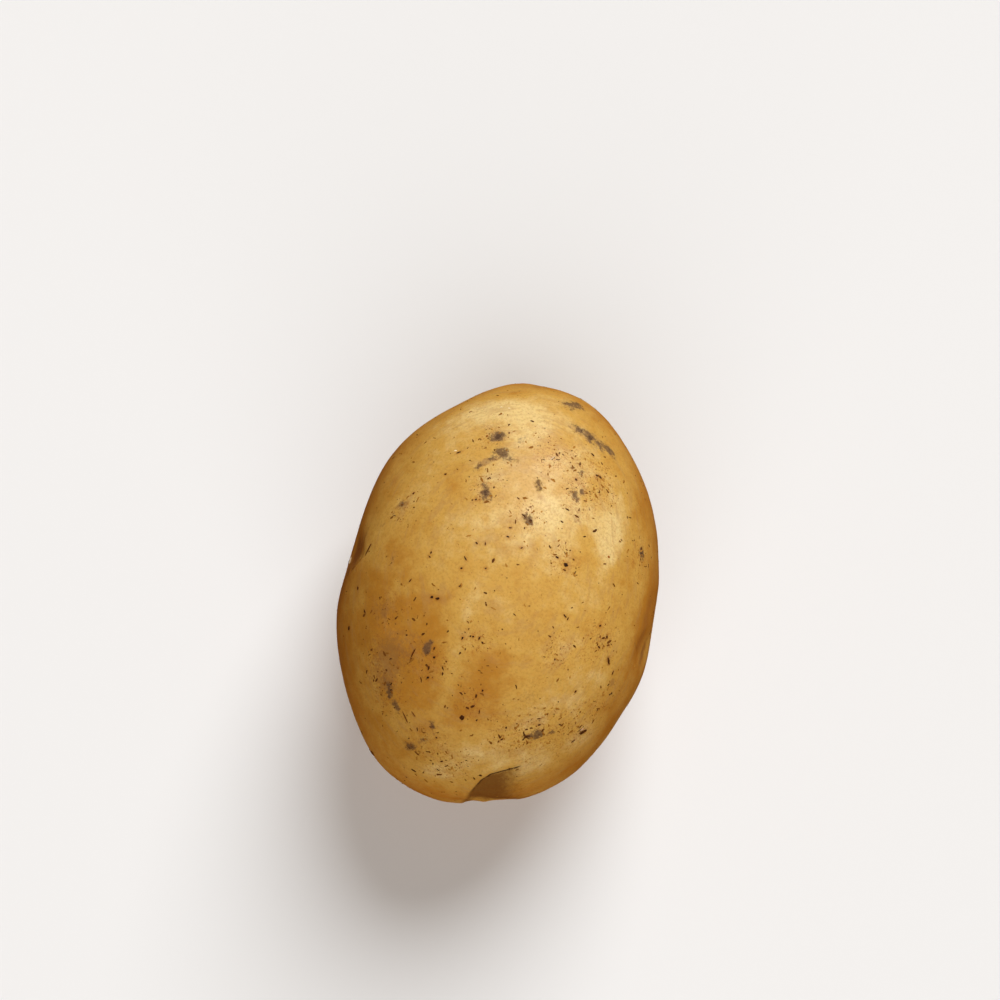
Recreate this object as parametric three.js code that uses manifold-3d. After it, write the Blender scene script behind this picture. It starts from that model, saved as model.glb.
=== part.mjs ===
// A potato: one tuber, lying on the small flat spot of its belly.
//
// Millimetres, +Z up. The long axis lies along Y, with the stem end at +Y and the
// rose end, where the youngest buds sit, at -Y. The origin is on the resting surface,
// under the middle of the tuber's box.
//
// The skin is worked out from the middle outwards. Each direction gives one point of
// an egg-shaped body, and the swellings, hollows, eyes and the stem scar then raise
// or sink that point. A box cuts the belly flat where the tuber rests.

import * as THREE from "three";
import { mergeVertices } from "three/addons/utils/BufferGeometryUtils.js";
import Module from "manifold-3d";

// Driving dimensions
const LENGTH = 94.4; // rose end to stem end
const WIDTH = 70; // cheek to cheek
const CROWN_HEIGHT = 32; // widest level up to the crown
const BELLY_DEPTH = 30.5; // widest level down to the belly, before it is flattened
const FLAT_DEPTH = 1.4; // how far the flat spot is pressed into the belly
const FLAT_ROUNDING = 0.45; // height over which the belly turns into the flat spot
const SKIN_STEPS = 16; // facets along each edge of the icosahedron

// A place on the skin is given by its direction from the middle: compass is the angle
// in plan, 0 at the +X cheek and 90 at the stem end, and height is the angle above the
// widest level. Breadth is how far a swelling reaches, and rise how far it stands out.
const swellings = [
  { place: "stem end", compass: 79, height: 5, breadth: 11, rise: 0.9 },
  { place: "left shoulder", compass: 114, height: 5, breadth: 8, rise: -0.9 },
  { place: "left cheek by its eye", compass: 175, height: 0, breadth: 13, rise: -1.3 },
  { place: "left of the rose end", compass: 246, height: -5, breadth: 9, rise: 1.0 },
  { place: "right of the rose end", compass: 308, height: -5, breadth: 12, rise: 0.8 },
  { place: "right cheek, low", compass: 343, height: -2, breadth: 8, rise: 0.8 },
  { place: "right cheek, high", compass: 10, height: 2, breadth: 10, rise: -0.6 },
  { place: "crown by the stem end", compass: 65, height: 50, breadth: 18, rise: 0.9 },
  { place: "crown by the rose end", compass: 262, height: 42, breadth: 16, rise: -0.7 },
  { place: "belly by the stem end", compass: 105, height: -48, breadth: 17, rise: -1.1 },
  { place: "belly by the rose end", compass: 292, height: -42, breadth: 17, rise: 1.2 },
];

// An eye is a hollow with a brow across one side. turn is the way from the hollow to
// its brow, 0 to the right and 90 upwards, as seen from outside with the stem end up.
const eyes = [
  { place: "rose end", compass: 280, height: 0, turn: 130, width: 14, depth: 2.6, brow: 0.8 },
  { place: "right cheek", compass: 350, height: 13, turn: 110, width: 11, depth: 0.9, brow: 0.4 },
  { place: "left cheek", compass: 176, height: 19, turn: 70, width: 10, depth: 0.9, brow: 0.3 },
  { place: "left shoulder", compass: 106, height: 38, turn: 90, width: 9, depth: 0.4, brow: 0.2 },
  { place: "right of the belly", compass: 47, height: -35, turn: 80, width: 11, depth: 1.5, brow: 0.6 },
  { place: "left of the belly", compass: 226, height: -34, turn: 100, width: 12, depth: 1.6, brow: 0.6 },
];

// The scar of the stolon that fed the tuber
const SCAR = { compass: 93, height: -20, width: 6, depth: 1.4, rim: 0.4 };

const radians = THREE.MathUtils.degToRad;
const bell = (distance, breadth) => Math.exp(-((distance / breadth) ** 2));

function direction({ compass, height }) {
  return new THREE.Vector3(
    Math.cos(radians(height)) * Math.cos(radians(compass)),
    Math.cos(radians(height)) * Math.sin(radians(compass)),
    Math.sin(radians(height)),
  );
}

// The plain body's skin in one direction: an ellipsoid, shallower below than above
function bodyPoint(unit) {
  const rise = unit.z > 0 ? CROWN_HEIGHT : BELLY_DEPTH;
  const share = Math.hypot(unit.x / (WIDTH / 2), unit.y / (LENGTH / 2), unit.z / rise);
  return unit.clone().divideScalar(share);
}

function swellingAt(swelling) {
  const centre = bodyPoint(direction(swelling));
  return (point) => swelling.rise * bell(point.distanceTo(centre), swelling.breadth);
}

function eyeAt(eye) {
  const outward = direction(eye);
  const centre = bodyPoint(outward);
  const right = new THREE.Vector3(0, 1, 0).cross(outward).normalize();
  const browward = right.clone().applyAxisAngle(outward, radians(eye.turn));
  const sideways = browward.clone().cross(outward);
  return (point) => {
    const offset = point.clone().sub(centre).divideScalar(eye.width / 2);
    const along = offset.dot(browward);
    const across = offset.dot(sideways);
    const hollow = bell(offset.length(), 0.8);
    const brow = bell(along - 0.75 + 0.4 * across ** 2, 0.35) * bell(across, 1);
    return eye.brow * brow - eye.depth * hollow;
  };
}

function scarAt(scar) {
  const centre = bodyPoint(direction(scar));
  return (point) => {
    const away = point.distanceTo(centre) / (scar.width / 2);
    return scar.rim * bell(away - 1.3, 0.5) - scar.depth * bell(away, 0.8);
  };
}

// Everything below the flat spot's level is brought up to just under it, and the
// belly above turns into it gently.
function flatten(level) {
  const above = (level + BELLY_DEPTH - FLAT_DEPTH) / FLAT_ROUNDING;
  return FLAT_ROUNDING * (Math.max(above, 0) + Math.log1p(Math.exp(-Math.abs(above))));
}

function skinGeometry() {
  const reliefs = [...swellings.map(swellingAt), ...eyes.map(eyeAt), scarAt(SCAR)];
  const sphere = new THREE.IcosahedronGeometry(1, SKIN_STEPS);
  sphere.deleteAttribute("normal");
  sphere.deleteAttribute("uv");
  const geometry = mergeVertices(sphere);
  const skin = geometry.getAttribute("position");
  for (let i = 0; i < skin.count; i++) {
    const unit = new THREE.Vector3().fromBufferAttribute(skin, i).normalize();
    const point = bodyPoint(unit);
    const relief = reliefs.reduce((sum, reliefOf) => sum + reliefOf(point), 0);
    point.addScaledVector(unit, relief);
    skin.setXYZ(i, point.x, point.y, flatten(point.z));
  }
  geometry.computeBoundingBox();
  const middle = geometry.boundingBox.getCenter(new THREE.Vector3());
  return geometry.translate(-middle.x, -middle.y, -FLAT_ROUNDING * Math.LN2);
}

const wasm = await Module();
wasm.setup();

function solidOf(geometry) {
  const bare = geometry.clone();
  bare.deleteAttribute("normal");
  bare.deleteAttribute("uv");
  const merged = mergeVertices(bare);
  return new wasm.Manifold(
    new wasm.Mesh({
      numProp: 3,
      vertProperties: merged.getAttribute("position").array,
      triVerts: new Uint32Array(merged.index.array),
    }),
  );
}

function geometryOf(solid) {
  const { vertProperties, triVerts } = solid.getMesh();
  const geometry = new THREE.BufferGeometry();
  geometry.setAttribute("position", new THREE.BufferAttribute(vertProperties, 3));
  geometry.setIndex(new THREE.BufferAttribute(triVerts, 1));
  return geometry;
}

function cutFlat(geometry) {
  const below = new THREE.BoxGeometry(LENGTH, LENGTH, BELLY_DEPTH);
  below.translate(0, 0, -BELLY_DEPTH / 2);
  return geometryOf(solidOf(geometry).subtract(solidOf(below)));
}

const tuber = new THREE.Mesh(
  cutFlat(skinGeometry()),
  new THREE.MeshStandardMaterial({ color: "#d0a25a", roughness: 0.5, metalness: 0 }),
);
tuber.name = "tuber";

const potato = new THREE.Group();
potato.add(tuber);

export default potato;
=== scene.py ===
# %% [markdown]
# # A potato, lying on its belly
#
# A potato is one thing that grew as one piece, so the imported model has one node, the
# tuber, and its box, its resting spot and its weight are settled there. What is left is
# the skin: a thin corky layer with a waxy sheen, sunken eyes, small corky pores, rubbed
# streaks and a little soil. This file works that skin out on a fine copy of the tuber.

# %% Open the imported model
import math
from collections import namedtuple

import bmesh
import bpy
import numpy as np
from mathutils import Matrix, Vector, noise
from mathutils.bvhtree import BVHTree
from mathutils.kdtree import KDTree


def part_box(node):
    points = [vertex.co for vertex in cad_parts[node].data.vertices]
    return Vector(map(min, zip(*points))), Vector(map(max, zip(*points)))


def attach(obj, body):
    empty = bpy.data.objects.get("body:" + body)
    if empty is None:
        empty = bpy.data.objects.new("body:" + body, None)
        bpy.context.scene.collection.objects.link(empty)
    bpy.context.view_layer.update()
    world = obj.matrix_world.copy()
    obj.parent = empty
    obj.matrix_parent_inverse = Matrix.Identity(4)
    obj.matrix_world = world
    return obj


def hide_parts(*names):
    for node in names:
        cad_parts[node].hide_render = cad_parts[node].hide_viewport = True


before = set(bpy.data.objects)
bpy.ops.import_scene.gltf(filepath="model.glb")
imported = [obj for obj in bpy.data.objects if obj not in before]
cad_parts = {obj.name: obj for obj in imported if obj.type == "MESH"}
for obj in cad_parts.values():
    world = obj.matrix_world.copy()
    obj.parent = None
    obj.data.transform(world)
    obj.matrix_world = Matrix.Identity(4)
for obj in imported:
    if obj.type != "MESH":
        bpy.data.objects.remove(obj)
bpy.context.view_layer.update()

MM = 0.001
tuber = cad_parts["tuber"]
tuber_low, tuber_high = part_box("tuber")
print("tuber:", [round(side / MM, 1) for side in tuber_high - tuber_low], "mm")

# %% [markdown]
# ## The camera, the light and the table
#
# The tuber lies on its belly and is seen from almost straight above, with its long axis
# leaning a little to the right. Two broad suns stand in for large soft lamps, the key
# beyond the stem end and the fill beyond the rose end. They light the whole table evenly,
# so it stays pale up to the horizon from every side. The tuber should look as if it lay
# among other potatoes. So the table throws no white light back, and a dim, warm glow comes
# up through it instead, which reaches only the flanks and the belly.

# %% Camera
VIEW_AZIMUTH = math.radians(12.2)
VIEW_ELEVATION = math.radians(78.0)
VIEW_WIDTH = 220 * MM
AIM_RIGHT = -0.4 * MM
AIM_UP = 20.1 * MM


def make_camera():
    data = bpy.data.cameras.new("camera")
    data.lens = 85
    data.sensor_width = 36
    distance = VIEW_WIDTH * data.lens / data.sensor_width
    level = math.cos(VIEW_ELEVATION)
    back = Vector((
        math.sin(VIEW_AZIMUTH) * level,
        -math.cos(VIEW_AZIMUTH) * level,
        math.sin(VIEW_ELEVATION),
    ))
    right = Vector((math.cos(VIEW_AZIMUTH), math.sin(VIEW_AZIMUTH), 0))
    up = back.cross(right)
    camera = bpy.data.objects.new("camera", data)
    aim = (tuber_low + tuber_high) / 2 + right * AIM_RIGHT + up * AIM_UP
    camera.location = aim + back * distance
    camera.rotation_euler = (-back).to_track_quat("-Z", "Y").to_euler()
    bpy.context.collection.objects.link(camera)
    return camera


bpy.context.scene.camera = make_camera()
bpy.context.scene.view_settings.view_transform = "Standard"
print("camera:", [round(place, 3) for place in bpy.context.scene.camera.location])

# %% Lights
KEY = {"azimuth": 10, "elevation": 40, "strength": 3.1, "spread": 40, "color": (1.0, 0.98, 0.93)}
FILL = {"azimuth": 168, "elevation": 40, "strength": 1.6, "spread": 70, "color": (1.0, 0.98, 0.94)}
GLOW = {"azimuth": 0, "elevation": -90, "strength": 1.05, "spread": 150, "color": (1.0, 0.6, 0.06)}
SKY_COLOR = (0.15, 0.10, 0.055, 1.0)
MIRRORED_COLOR = (0.08, 0.04, 0.015, 1.0)
BACKDROP_COLOR = (0.9, 0.9, 0.9, 1.0)


def towards(azimuth, elevation):
    """The way to a lamp: degrees from the stem end round to the right, and upwards."""
    level = math.cos(math.radians(elevation))
    return Vector((
        level * math.sin(math.radians(azimuth)),
        level * math.cos(math.radians(azimuth)),
        math.sin(math.radians(elevation)),
    ))


def make_sun(name, azimuth, elevation, strength, spread, color):
    data = bpy.data.lights.new(name, "SUN")
    data.energy = strength
    data.angle = math.radians(spread)
    data.color = color
    sun = bpy.data.objects.new(name, data)
    sun.rotation_euler = towards(azimuth, elevation).to_track_quat("Z", "Y").to_euler()
    bpy.context.collection.objects.link(sun)
    return sun


lamps = [make_sun("key", **KEY), make_sun("fill", **FILL), make_sun("glow", **GLOW)]
for lamp in lamps[1:]:
    lamp.visible_glossy = False
print("lamps:", {lamp.name: round(lamp.data.energy, 2) for lamp in lamps}, "W/m2")

# %% [markdown]
# ## Arithmetic on shader sockets
#
# A skin is a stack of masks and colours. Written node by node it is hard to follow, so
# one small class wraps a socket. Plus, minus and times on it add the Math nodes, and one
# method makes every other kind of node.


# %% The socket class
class Wire:
    """A socket of a node tree, which arithmetic works on."""

    def __init__(self, tree, socket=None):
        self.tree = tree
        self.socket = socket

    def node(self, kind, settings=None, inputs=None, output=0):
        made = self.tree.nodes.new(kind)
        for name, value in (settings or {}).items():
            if name == "stops":
                set_stops(made.color_ramp, value)
            else:
                setattr(made, name, value)
        for name, value in (inputs or {}).items():
            if isinstance(value, Wire):
                self.tree.links.new(value.socket, made.inputs[name])
            else:
                made.inputs[name].default_value = value
        return Wire(self.tree, made.outputs[output]) if made.outputs else made

    def math(self, operation, first, second=0.0):
        inputs = {0: first, 1: second}
        return self.node("ShaderNodeMath", {"operation": operation}, inputs)

    def __add__(self, other):
        return self.math("ADD", self, other)

    def __sub__(self, other):
        return self.math("SUBTRACT", self, other)

    def __mul__(self, other):
        return self.math("MULTIPLY", self, other)

    def ramp(self, low, high):
        """0 below low, 1 above high and a smooth step between; low may be above high."""
        ends = {"Value": self, "From Min": low, "From Max": high}
        return self.node("ShaderNodeMapRange", {"interpolation_type": "SMOOTHSTEP"}, ends)

    def over(self, below, color, blend="MIX"):
        """The colour laid over another one, with this mask as its cover."""
        settings = {"data_type": "RGBA", "blend_type": blend}
        return self.node("ShaderNodeMix", settings, {0: self, 6: below, 7: color}, 2)


def set_stops(ramp, stops):
    while len(ramp.elements) > 1:
        ramp.elements.remove(ramp.elements[-1])
    ramp.elements[0].position, ramp.elements[0].color = stops[0]
    for position, color in stops[1:]:
        ramp.elements.new(position).color = color


def srgb(text):
    """A colour written as on a paint card, #rrggbb, as the shader needs it."""
    parts = [int(text[i:i + 2], 16) / 255 for i in (1, 3, 5)]
    return tuple(
        part / 12.92 if part <= 0.04045 else ((part + 0.055) / 1.055) ** 2.4
        for part in parts
    ) + (1.0,)


def new_tree(material):
    material.use_nodes = True
    material.node_tree.nodes.clear()
    return Wire(material.node_tree)


# %% Table and sky
def make_table():
    half = 6.0
    mesh = bpy.data.meshes.new("table")
    corners = [(-half, -half, 0), (half, -half, 0), (half, half, 0), (-half, half, 0)]
    mesh.from_pydata(corners, [], [(0, 1, 2, 3)])
    material = bpy.data.materials.new("table")
    wire = new_tree(material)
    finish = {"Base Color": srgb("#e9edf4"), "Roughness": 0.9}
    surface = wire.node("ShaderNodeBsdfPrincipled", {}, finish)
    wire.node("ShaderNodeOutputMaterial", {}, {"Surface": surface})
    mesh.materials.append(material)
    table = bpy.data.objects.new("table", mesh)
    table.visible_diffuse = False
    table.visible_glossy = False
    table.visible_shadow = False
    bpy.context.collection.objects.link(table)
    return table


def make_sky():
    world = bpy.data.worlds.new("sky")
    bpy.context.scene.world = world
    world.use_nodes = True
    world.node_tree.nodes.clear()
    wire = Wire(world.node_tree)
    seen = wire.node("ShaderNodeLightPath", output="Is Camera Ray")
    mirrored = wire.node("ShaderNodeLightPath", output="Is Glossy Ray")
    color = seen.over(mirrored.over(SKY_COLOR, MIRRORED_COLOR), BACKDROP_COLOR)
    shine = wire.node("ShaderNodeBackground", {}, {"Color": color})
    wire.node("ShaderNodeOutputWorld", {}, {"Surface": shine})


table = make_table()
make_sky()
print("table:", [round(side, 1) for side in table.dimensions], "m")

# %% [markdown]
# ## The fine skin
#
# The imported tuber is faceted. A merged copy of it is subdivided twice, which rounds the
# facets off. The skin round each eye and the stem scar is halved once more, and so is the
# skin along each crease, because a crease is less than a millimetre wide.

# %% Places on the skin
# A place has its point, its outward normal, and two directions along the skin: right,
# and up towards the stem end, as seen from outside.
Place = namedtuple("Place", "point normal right up")
WIDEST_LEVEL = 28.8 * MM
SMOOTHING_STEPS = 2


def merged_copy(node, name):
    mesh = node.data.copy()
    mesh.name = name
    bm = bmesh.new()
    bm.from_mesh(mesh)
    bmesh.ops.remove_doubles(bm, verts=bm.verts, dist=0.001 * MM)
    bm.to_mesh(mesh)
    bm.free()
    mesh.materials.clear()
    for layer_name in [layer.name for layer in mesh.uv_layers]:
        mesh.uv_layers.remove(mesh.uv_layers[layer_name])
    piece = bpy.data.objects.new(name, mesh)
    bpy.context.collection.objects.link(piece)
    return piece


def frozen(piece):
    """Puts the piece's modifiers into its mesh."""
    graph = bpy.context.evaluated_depsgraph_get()
    made = bpy.data.meshes.new_from_object(piece.evaluated_get(graph))
    piece.modifiers.clear()
    old, name = piece.data, piece.data.name
    piece.data = made
    bpy.data.meshes.remove(old)
    made.name = name
    return piece


skin = merged_copy(tuber, "skin")
smoothing = skin.modifiers.new("smoothing", "SUBSURF")
smoothing.levels = smoothing.render_levels = SMOOTHING_STEPS
frozen(skin)
body = BVHTree.FromObject(skin, bpy.context.evaluated_depsgraph_get())


def place_at(point, normal):
    right = Vector((0, 1, 0)).cross(normal).normalized()
    return Place(point, normal, right, normal.cross(right))


def from_above(x, y):
    """The place straight below a point on the plan, in millimetres from the middle."""
    start = Vector((x * MM, y * MM, 2 * tuber_high.z))
    return place_at(*body.ray_cast(start, Vector((0, 0, -1)))[:2])


def from_middle(compass, height):
    """The place in a direction from the middle, in degrees."""
    level = math.cos(math.radians(height))
    way = Vector((
        level * math.cos(math.radians(compass)),
        level * math.sin(math.radians(compass)),
        math.sin(math.radians(height)),
    ))
    return place_at(*body.ray_cast(Vector((0, 0, WIDEST_LEVEL)), way)[:2])


print("skin:", len(skin.data.vertices), "points before the eyes and creases")

# %% [markdown]
# ## Eyes and creases
#
# An eye is a hollow with a brow over it, and where the brow meets the hollow the skin
# folds into a thin crease. On the belly's eyes that crease is an arc, and the eye on the
# left shoulder is too shallow for one. On the cheeks and the rose end it is crooked, so its
# route is a short list of points on the plan, with the brow to its left. The rose end's
# route starts below the widest level, where a plan doesn't reach, so its first points are
# directions. All become the same thing, a line of points on the skin.

# %% Eyes
# A direction is a compass angle, 0 at the right cheek and 90 at the stem end, and a height
# above the widest level, both in degrees. A route is given in millimetres from the middle.
Eye = namedtuple("Eye", "name place turn width")
EYES = [
    Eye("left shoulder", from_middle(106, 38), 90, 8),
    Eye("right of the belly", from_middle(47, -35), 80, 10),
    Eye("left of the belly", from_middle(226, -34), 100, 11),
]
ROSE_END_START = [(268.0, -20), (271.0, -11), (272.6, -4)]
ROSE_END_ROUTE = [
    (3.0, -45.3), (3.9, -43.8), (4.9, -42.4), (6.5, -41.0),
    (8.8, -39.9), (10.9, -38.9), (12.9, -37.7),
]
LEFT_CHEEK_ROUTE = [(-29.6, 1.2), (-30.0, -0.4), (-30.8, -2.0), (-31.8, -3.4), (-32.8, -4.3)]
RIGHT_CHEEK_ROUTE = [(32.3, -9.4), (31.4, -8.1), (30.5, -6.8)]
ROSE_END = from_middle(280, 8)
NOTCH = from_middle(274, 3)
SCAR = from_middle(93, -20)
ARC_SPAN = 0.8
ARC_RISE = 0.28
ARC_POINTS = 9


def turned_ways(place, turn):
    """Two directions along the skin, its right and up turned by some degrees."""
    turn = math.radians(turn)
    along = math.cos(turn) * place.right + math.sin(turn) * place.up
    return along, place.normal.cross(along)


def arc_of(eye):
    """The crease of an eye: an arc across the hollow, open towards the brow's far side."""
    place, half = eye.place, eye.width / 2
    along, across = turned_ways(place, eye.turn)
    points = []
    for share in np.linspace(ARC_SPAN, -ARC_SPAN, ARC_POINTS):
        offset = along * (ARC_RISE - ARC_RISE * share ** 2) * half + across * share * half
        points.append(body.find_nearest(place.point + offset * MM)[0])
    return points


def laid_down(route):
    return [from_above(x, y).point for x, y in route]


def towards_points(directions):
    return [from_middle(*direction).point for direction in directions]


# Depth of the groove, rise of the brow and depth of the hollow in millimetres, how dark the
# stain is, which is brown with painted shade in the crease and the hollow, and the share of
# the way at which the crease starts to be deep and dark. The first two are the creases of
# the belly's eyes.
Crease = namedtuple("Crease", "points depth brow hollow stain start")
creases = [Crease(arc_of(eye), 0.5, 0.35, 0.2, 0.75, 0.1) for eye in EYES[1:]]
creases += [
    Crease(laid_down(LEFT_CHEEK_ROUTE), 0.3, 0.3, 0.35, 0.5, 0.1),
    Crease(laid_down(RIGHT_CHEEK_ROUTE), 0.12, 0.04, 0.05, 0.4, 0.1),
    Crease(towards_points(ROSE_END_START) + laid_down(ROSE_END_ROUTE), 0.6, 0.45, 0.55, 1.0, 0.5),
]
print("eyes:", ", ".join(eye.name for eye in EYES))
print("creases:", len(creases))

# %% More points where they are needed
EYE_REACH = 6.5 * MM
CREASE_REACH = 1.1 * MM


def refine(piece, centres, reach):
    """Halves the edges near the centres, so that fine creases have points to follow."""
    bm = bmesh.new()
    bm.from_mesh(piece.data)
    tree = KDTree(len(centres))
    for number, centre in enumerate(centres):
        tree.insert(centre, number)
    tree.balance()
    near = {v for v in bm.verts if tree.find(v.co)[2] < reach}
    edges = [e for e in bm.edges if e.verts[0] in near and e.verts[1] in near]
    bmesh.ops.subdivide_edges(bm, edges=edges, cuts=1, use_grid_fill=True)
    bm.to_mesh(piece.data)
    bm.free()


def steps_between(points, gap=0.4 * MM):
    """The same line with a point every gap or so."""
    line = []
    for first, second in zip(points, points[1:]):
        count = max(1, round((second - first).length / gap))
        line += [first.lerp(second, step / count) for step in range(count)]
    return line + [points[-1]]


crease_lines = [steps_between(crease.points) for crease in creases]
dimpled = [eye.place.point for eye in EYES] + [ROSE_END.point, NOTCH.point, SCAR.point]
refine(skin, dimpled, EYE_REACH)
refine(skin, [point for line in crease_lines for point in line], CREASE_REACH)
print("skin:", len(skin.data.vertices), "points with the creases")

# %% [markdown]
# ## Relief
#
# The relief is one height for each point of the skin, along its normal. Slow noise gives
# the uneven growth, finer noise the dimpled surface. A crease is a groove with a raised
# lip on one side and a sunken floor on the other, so it needs to know the side: it comes
# from the cross product of the line's way and the skin's normal. The sides are worked out
# before any point moves, because a raised lip would be further from the line. The stem
# scar is a small pit with wrinkles that run out from it like spokes.


# %% Reading the points
def points_of(mesh):
    points = np.empty(len(mesh.vertices) * 3)
    mesh.vertices.foreach_get("co", points)
    return points.reshape(-1, 3)


def normals_of(mesh):
    normals = np.empty(len(mesh.vertices) * 3)
    mesh.vertex_normals.foreach_get("vector", normals)
    return normals.reshape(-1, 3)


def bell(distance, breadth):
    return np.exp(-((distance / breadth) ** 2))


def across_place(points, place, turn=0.0):
    """Millimetres from a place along the skin, in its right and up, turned in degrees."""
    offset = (points - np.array(place.point)) / MM
    right, up = offset @ np.array(place.right), offset @ np.array(place.up)
    out = offset @ np.array(place.normal)
    c, s = math.cos(math.radians(turn)), math.sin(math.radians(turn))
    return right * c + up * s, up * c - right * s, out


def noise_field(points, size, seed):
    """Smooth noise of about -1 to 1 at each point, with lumps of a size in mm."""
    shift = Vector((seed * 7.31, seed * 3.17, seed * 5.77))
    scale = 1 / (size * MM)
    return np.array([noise.noise(Vector(p) * scale + shift) for p in points])


def beside_line(points, normals, line):
    """Millimetres to a line, on its left positive, and the share of the way along it."""
    away = np.full(len(points), 1e9)
    side = np.zeros(len(points))
    share = np.zeros(len(points))
    for number, (first, second) in enumerate(zip(line, line[1:])):
        first, way = np.array(first), np.array(second - first)
        part = np.clip((points - first) @ way / (way @ way), 0, 1)
        offset = points - first - part[:, None] * way
        length = np.linalg.norm(offset, axis=1) / MM
        closer = length < away
        left = np.sign(np.einsum("ij,ij->i", np.cross(normals, way), offset))
        away[closer], side[closer] = length[closer], left[closer]
        share[closer] = (number + part[closer]) / (len(line) - 1)
    return away * side, share


print("crease of the rose end:", len(crease_lines[-1]), "points")


# %% Heights of creases, eyes and scar
# Breadths and distances beside a crease, in millimetres
GROOVE_BREADTH = 0.35
LIP_BREADTH = 1.0
FLOOR_BREADTH = 1.9
FLOOR_AWAY = 2.0
FARTHEST = 8
SHALLOW = 0.25
SCAR_SPOKES = 9
SCAR_PIT = 1.6
SCAR_RING = 3.4


def swell(share):
    """0 at both ends of a line and 1 at its middle."""
    return np.clip(4 * share * (1 - share), 0, 1) ** 0.5


def begun(crease, share):
    """0 where a crease starts to be deep and dark, and 1 two thirds of the way from there."""
    return 1.5 * (share - crease.start) / (1 - crease.start)


def crease_relief(crease, beside, share):
    span = swell(share) * np.clip(3 * share, 0, 1) * (np.abs(beside) < FARTHEST)
    deepening = np.clip(SHALLOW + begun(crease, share), SHALLOW, 1)
    groove = crease.depth * bell(beside, GROOVE_BREADTH) * span * deepening
    lip = crease.brow * bell(beside - LIP_BREADTH, LIP_BREADTH) * span
    lip = lip * np.clip(1.6 * share - 0.2, 0, 1)
    floor = crease.hollow * bell(beside + FLOOR_AWAY, FLOOR_BREADTH) * span
    return lip - groove - floor


def eye_relief(points, eye):
    """The bud in the hollow, and the brow above it."""
    along, across, out = across_place(points, eye.place, eye.turn)
    half = eye.width / 2
    near = bell(out, half)
    bud = bell(np.hypot(along + 0.1 * half, across), 0.8) * near
    return 0.3 * bud + 0.15 * bell(along - 0.5 * half, 1.5) * bell(across, half) * near


def scar_relief(points):
    """Wrinkles like spokes round the stem scar, and a pit inside it."""
    along, across, out = across_place(points, SCAR)
    away = np.hypot(along, across)
    wavering = 1.5 * noise_field(points, 2.5, 5)
    spokes = np.cos(SCAR_SPOKES * np.arctan2(across, along) + wavering)
    wrinkles = 0.22 * spokes * bell(away - SCAR_RING, 1.5)
    return (wrinkles - 0.3 * bell(away, SCAR_PIT)) * bell(out, 4)


# %% Moving the points
# Rise, size of the lumps and seed of each layer of noise, in millimetres
UNEVEN_GROWTH = [(0.30, 24, 1), (0.12, 8, 2), (0.035, 3, 3), (0.014, 1.3, 4)]
# Compass, height, breadth and rise of shallow swellings, of the rose end's notch and of
# the three buds below it, in degrees and millimetres
SWELLINGS = [
    (252, 2, 8, 0.35), (140, 5, 8, 0.35), (13, 5, 5, 0.3), (200, 5, 6, 0.25), (350, 5, 7, -0.25),
]
NOTCH_DENT = [(274, 3, 3.2, -0.7)]
BUDS = [(277, -6, 1.4, 0.45), (281, -3, 1.2, 0.35), (275, 0, 1.1, 0.3)]
# Below this height the relief fades out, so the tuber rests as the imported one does
RESTING_HEIGHT = 1.5 * MM

skin_points = points_of(skin.data)
skin_normals = normals_of(skin.data)
crease_sides = [beside_line(skin_points, skin_normals, line) for line in crease_lines]
relief = sum(rise * noise_field(skin_points, size, seed) for rise, size, seed in UNEVEN_GROWTH)
for eye in EYES:
    relief += eye_relief(skin_points, eye)
for crease, (beside, share) in zip(creases, crease_sides):
    relief += crease_relief(crease, beside, share)
for compass, height, breadth, rise in SWELLINGS + NOTCH_DENT + BUDS:
    centre = np.array(from_middle(compass, height).point)
    relief += rise * bell(np.linalg.norm(skin_points - centre, axis=1), breadth * MM)
relief += scar_relief(skin_points)
lift = np.clip(skin_points[:, 2] / RESTING_HEIGHT, 0, 1)
skin_points += skin_normals * (relief * lift * MM)[:, None]
skin_points[:, 2] = np.maximum(skin_points[:, 2], 0)
skin.data.vertices.foreach_set("co", skin_points.ravel())
skin.data.update()
skin.data.polygons.foreach_set("use_smooth", [True] * len(skin.data.polygons))
body = BVHTree.FromObject(skin, bpy.context.evaluated_depsgraph_get())
print("relief:", round(relief.min(), 2), "to", round(relief.max(), 2), "mm")
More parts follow.
